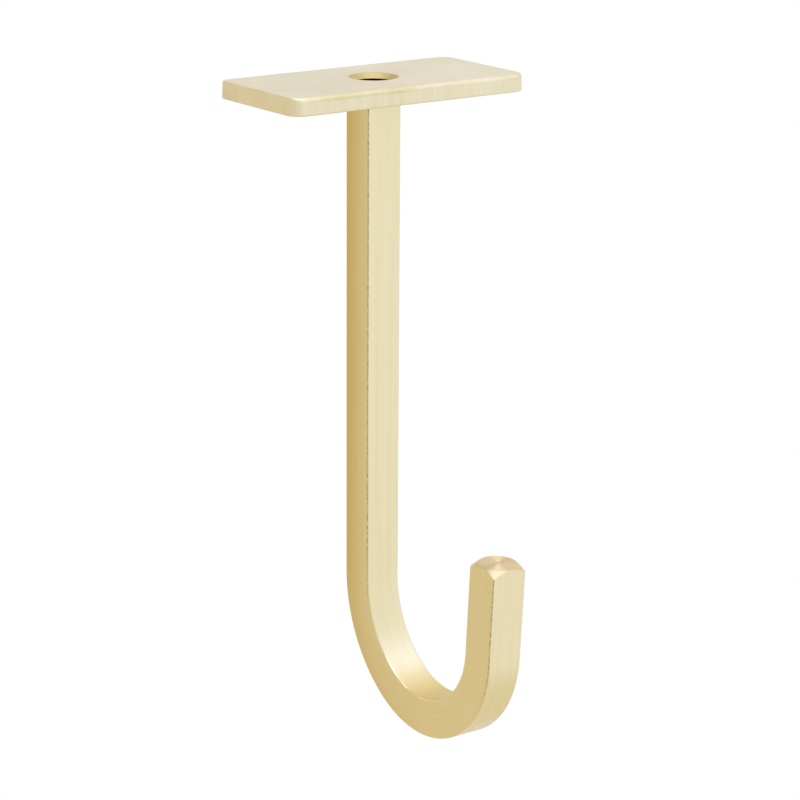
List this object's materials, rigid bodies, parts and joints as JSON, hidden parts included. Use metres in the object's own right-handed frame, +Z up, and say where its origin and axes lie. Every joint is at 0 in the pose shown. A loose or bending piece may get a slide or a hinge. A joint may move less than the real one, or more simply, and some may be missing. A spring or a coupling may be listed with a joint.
{
  "type": "ceiling hook",
  "caption": "Brass ceiling hook: a flat plate with rounded corners and a countersunk hole over a square bar bent to a J, for hanging a plant or a lamp from a stud in the ceiling.",
  "frame": {"origin": "mouth of the tapped hole in the bar's upper end, centred in the plane where the bar meets the plate, 4.5 mm below the ceiling face", "axes": "+Z is up toward the ceiling, X runs along the plate's length, and the hook opens toward -Y"},
  "size_m": [0.0712, 0.0774, 0.1677],
  "materials": {
    "plate_brass": "satin",
    "bar_brass": "brushed"
  },
  "bodies": {
    "root": {"top_plate": "plate_brass", "hook_bar": "bar_brass"}
  },
  "joints": []
}
